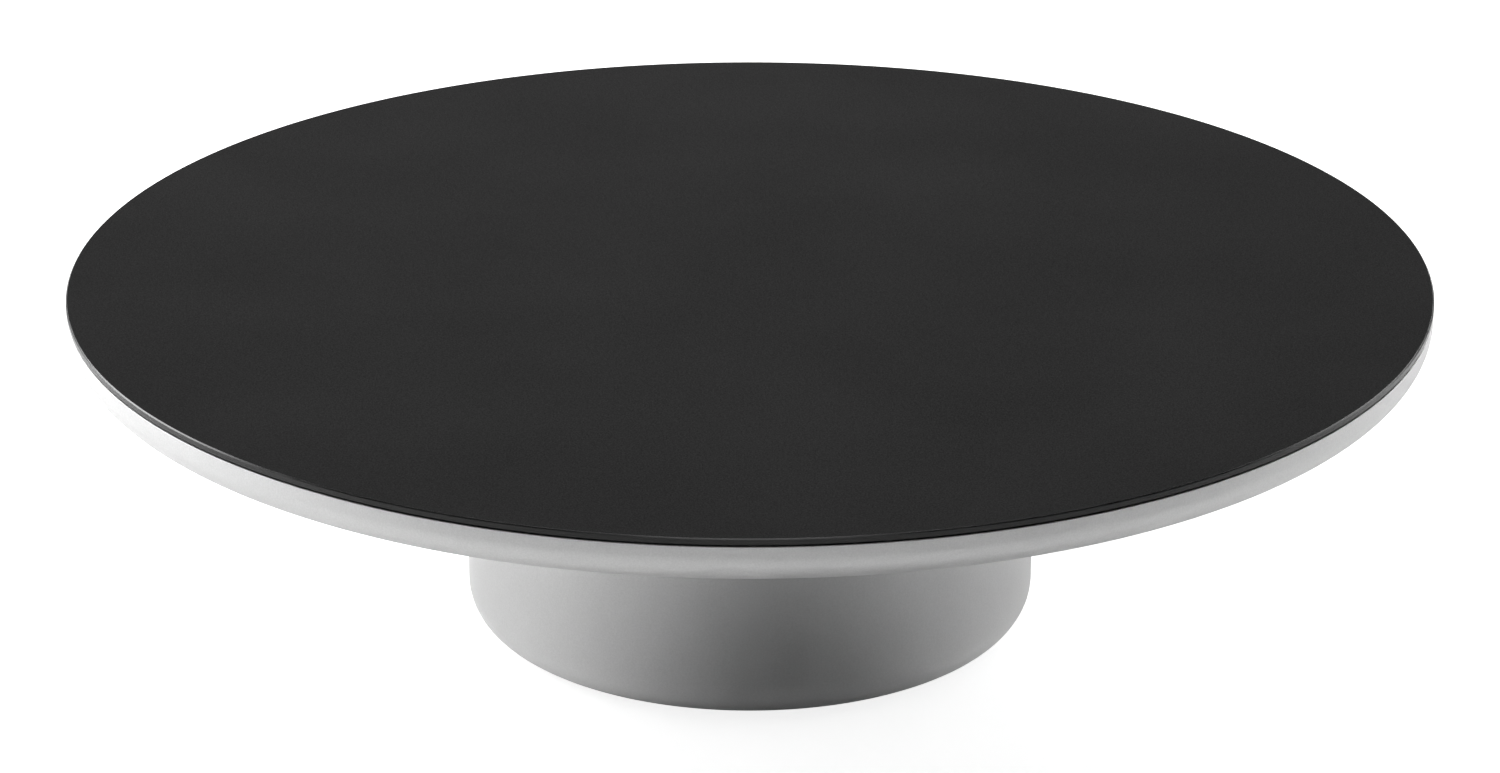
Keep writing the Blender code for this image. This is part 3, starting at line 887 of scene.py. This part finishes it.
def make_materials():
    makers = (
        etched_glass,
        polished_edge,
        back_paint,
        tray_aluminium,
        drum_aluminium,
        mill_aluminium,
        frame_steel,
        zinc_steel,
        ballast_iron,
        clear_silicone,
        foot_nylon,
    )
    return {maker.__name__: maker() for maker in makers}


# The studio

# The floor as the camera sees it: its own glow, and how pale it is where light falls on it
FLOOR_HALF_WIDTH = 20.0
FLOOR_GLOW = 0.84
FLOOR_SHADE = 0.45

# The floor as reflections see it: pale, with a painted shadow, a darker patch in front of the drum
# where the tray's shadow falls, and a painted glow, a faintly glowing patch round the drum's foot.
# The glow's stops are (metres, share) pairs: one set by the distance from the table's axis, the
# other by the distance from the painted shadow's middle.
FLOOR_BOUNCE = 0.9
PAINTED_SHADOW_BOUNCE = 0.22
PAINTED_SHADOW_MIDDLE = (0.07, -0.46, 0)
PAINTED_SHADOW_REACH = (0.05, 0.32)
GLOW_PATCH_RING = ((0.19, 0.0), (0.27, 1.0), (0.35, 0.0))
GLOW_PATCH_SIDES = ((0.2, 0.03), (0.42, 0.34), (0.5, 0.27), (0.66, 0.03))

ROOM_LIGHT = 0.0
BACKDROP_LIGHT = 1.0
WIDE_SOFTBOX = (1.6, 1.2)
STRIP = (1.5, 0.8)
OVERHEAD_SOFTBOX = (1.8, 1.8)
RECESS_PANEL = (0.3, 0.3)
SOFTBOXES = (
    # degrees from +X, distance from the axis, height, size, watts
    (25, 3.0, 1.6, WIDE_SOFTBOX, 17),
    (60, 3.0, 1.6, WIDE_SOFTBOX, 42),
    (95, 3.0, 1.6, WIDE_SOFTBOX, 30),
    (130, 3.0, 1.6, WIDE_SOFTBOX, 42),
    (160, 3.0, 1.6, WIDE_SOFTBOX, 60),
    (15, 3.2, 0.45, STRIP, 9),
    (90, 3.2, 0.45, STRIP, 30),
    (190, 3.2, 0.45, STRIP, 13),
    (0, 0.0, 3.0, OVERHEAD_SOFTBOX, 55),
    (270, 1.9, 3.2, STRIP, 10),
    # Inside the recess under the base, so that the feet can be seen from below
    (0, 0.0, 0.001, RECESS_PANEL, 0.2),
)
LIGHT_AIM = Vector((0, 0, 0.2))
CAMERA_DISTANCE = 4.5
CAMERA_HEIGHT = 1.985
CAMERA_PITCH = math.radians(21.46)
CAMERA_LENS = 130.4


def add_ramp(nodes, stops):
    """A node that turns a distance in metres into a share, through (distance, share) stops."""
    node = nodes.new("ShaderNodeValToRGB")
    node.color_ramp.interpolation = "EASE"
    elements = node.color_ramp.elements
    while len(elements) < len(stops):
        elements.new(0.5)
    for element, (distance, share) in zip(elements, stops):
        element.position = distance
        element.color = (*grey(share), 1)
    return node


def seen_floor(nodes, links):
    """The floor's shader for the camera: white, with only the deepest shadow left on it."""
    glow = nodes.new("ShaderNodeEmission")
    glow.inputs["Strength"].default_value = FLOOR_GLOW
    shade = nodes.new("ShaderNodeBsdfDiffuse")
    shade.inputs["Color"].default_value = (*grey(FLOOR_SHADE), 1)
    seen = nodes.new("ShaderNodeAddShader")
    links.new(glow.outputs[0], seen.inputs[0])
    links.new(shade.outputs[0], seen.inputs[1])
    return seen


def reflected_floor(nodes, links, position):
    """The floor's shader for everything else: pale, with a painted shadow in front of the drum and
    a painted glow round its foot.
    """
    away = nodes.new("ShaderNodeVectorMath")
    away.operation = "DISTANCE"
    away.inputs[1].default_value = PAINTED_SHADOW_MIDDLE
    # Painted shadow: for reflections the floor is darker in front of the drum, where the tray's
    # shadow falls
    painted_shadow = nodes.new("ShaderNodeMapRange")
    painted_shadow.interpolation_type = "SMOOTHSTEP"
    painted_shadow.inputs["From Min"].default_value, painted_shadow.inputs["From Max"].default_value = PAINTED_SHADOW_REACH
    painted_shadow.inputs["To Min"].default_value = PAINTED_SHADOW_BOUNCE
    painted_shadow.inputs["To Max"].default_value = FLOOR_BOUNCE
    bounce = nodes.new("ShaderNodeBsdfDiffuse")
    links.new(position, away.inputs[0])
    links.new(away.outputs["Value"], painted_shadow.inputs["Value"])
    links.new(painted_shadow.outputs["Result"], bounce.inputs["Color"])

    from_axis = nodes.new("ShaderNodeVectorMath")
    from_axis.operation = "LENGTH"
    ring = add_ramp(nodes, GLOW_PATCH_RING)
    sides = add_ramp(nodes, GLOW_PATCH_SIDES)
    power = nodes.new("ShaderNodeMath")
    power.operation = "MULTIPLY"
    # Painted glow: the floor glows faintly round the drum's foot and lights the pieces above it,
    # though it is no lamp
    glow_patch = nodes.new("ShaderNodeEmission")
    links.new(position, from_axis.inputs[0])
    links.new(from_axis.outputs["Value"], ring.inputs[0])
    links.new(away.outputs["Value"], sides.inputs[0])
    links.new(ring.outputs[0], power.inputs[0])
    links.new(sides.outputs[0], power.inputs[1])
    links.new(power.outputs[0], glow_patch.inputs["Strength"])

    reflected = nodes.new("ShaderNodeAddShader")
    links.new(bounce.outputs[0], reflected.inputs[0])
    links.new(glow_patch.outputs[0], reflected.inputs[1])
    return reflected


def white_sweep():
    """The floor's material. It is clear from below, so that the feet can be seen."""
    material = bpy.data.materials.new("white_sweep")
    material.use_nodes = True
    nodes, links = material.node_tree.nodes, material.node_tree.links
    nodes.clear()
    surface = nodes.new("ShaderNodeNewGeometry")
    seen = seen_floor(nodes, links)
    reflected = reflected_floor(nodes, links, surface.outputs["Position"])
    ray = nodes.new("ShaderNodeLightPath")
    pick = nodes.new("ShaderNodeMixShader")
    clear = nodes.new("ShaderNodeBsdfTransparent")
    one_sided = nodes.new("ShaderNodeMixShader")
    out = nodes.new("ShaderNodeOutputMaterial")
    links.new(ray.outputs["Is Camera Ray"], pick.inputs[0])
    links.new(reflected.outputs[0], pick.inputs[1])
    links.new(seen.outputs[0], pick.inputs[2])
    links.new(surface.outputs["Backfacing"], one_sided.inputs[0])
    links.new(pick.outputs[0], one_sided.inputs[1])
    links.new(clear.outputs[0], one_sided.inputs[2])
    links.new(one_sided.outputs[0], out.inputs["Surface"])
    return material


def make_floor():
    bm = bmesh.new()
    bmesh.ops.create_grid(bm, x_segments=1, y_segments=1, size=FLOOR_HALF_WIDTH)
    mesh = bpy.data.meshes.new("floor")
    bm.to_mesh(mesh)
    bm.free()
    floor = link("floor", mesh)
    mesh.materials.append(white_sweep())


def make_softbox(number, azimuth, distance, height, size, power):
    turn = math.radians(azimuth)
    light = bpy.data.lights.new(f"softbox_{number}", "AREA")
    light.shape = "RECTANGLE"
    light.size, light.size_y = size
    light.energy = power
    lamp = link(f"softbox_{number}", light)
    lamp.location = (distance * math.cos(turn), distance * math.sin(turn), height)
    lamp.rotation_euler = (LIGHT_AIM - lamp.location).to_track_quat("-Z", "Y").to_euler()
    lamp.visible_camera = False


def make_world():
    """A room with no light of its own round the object, and plain white behind it."""
    world = bpy.data.worlds.new("studio")
    world.use_nodes = True
    nodes, links = world.node_tree.nodes, world.node_tree.links
    room = nodes["Background"]
    room.inputs["Color"].default_value = (1, 1, 1, 1)
    room.inputs["Strength"].default_value = ROOM_LIGHT
    backdrop = nodes.new("ShaderNodeBackground")
    backdrop.inputs["Color"].default_value = (1, 1, 1, 1)
    backdrop.inputs["Strength"].default_value = BACKDROP_LIGHT
    ray = nodes.new("ShaderNodeLightPath")
    pick = nodes.new("ShaderNodeMixShader")
    links.new(ray.outputs["Is Camera Ray"], pick.inputs[0])
    links.new(room.outputs[0], pick.inputs[1])
    links.new(backdrop.outputs[0], pick.inputs[2])
    links.new(pick.outputs[0], nodes["World Output"].inputs["Surface"])
    bpy.context.scene.world = world


def make_camera():
    camera = bpy.data.cameras.new("camera")
    camera.lens = CAMERA_LENS
    holder = link("camera", camera)
    holder.location = (0, -CAMERA_DISTANCE, CAMERA_HEIGHT)
    holder.rotation_euler = (math.pi / 2 - CAMERA_PITCH, 0, 0)
    bpy.context.scene.camera = holder


def make_studio():
    bpy.context.scene.view_settings.view_transform = "Standard"
    make_floor()
    make_world()
    for number, softbox in enumerate(SOFTBOXES, 1):
        make_softbox(number, *softbox)
    make_camera()


def main():
    materials = make_materials()
    for make in (
        make_glass,
        make_tray,
        make_drum,
        make_locator,
        make_glass_pads,
        make_plates,
        make_arms,
        make_bolts,
        make_shell_screws,
        make_inserts,
        make_foot_pads,
        make_foot_stems,
    ):
        make(materials)
    make_studio()


main()
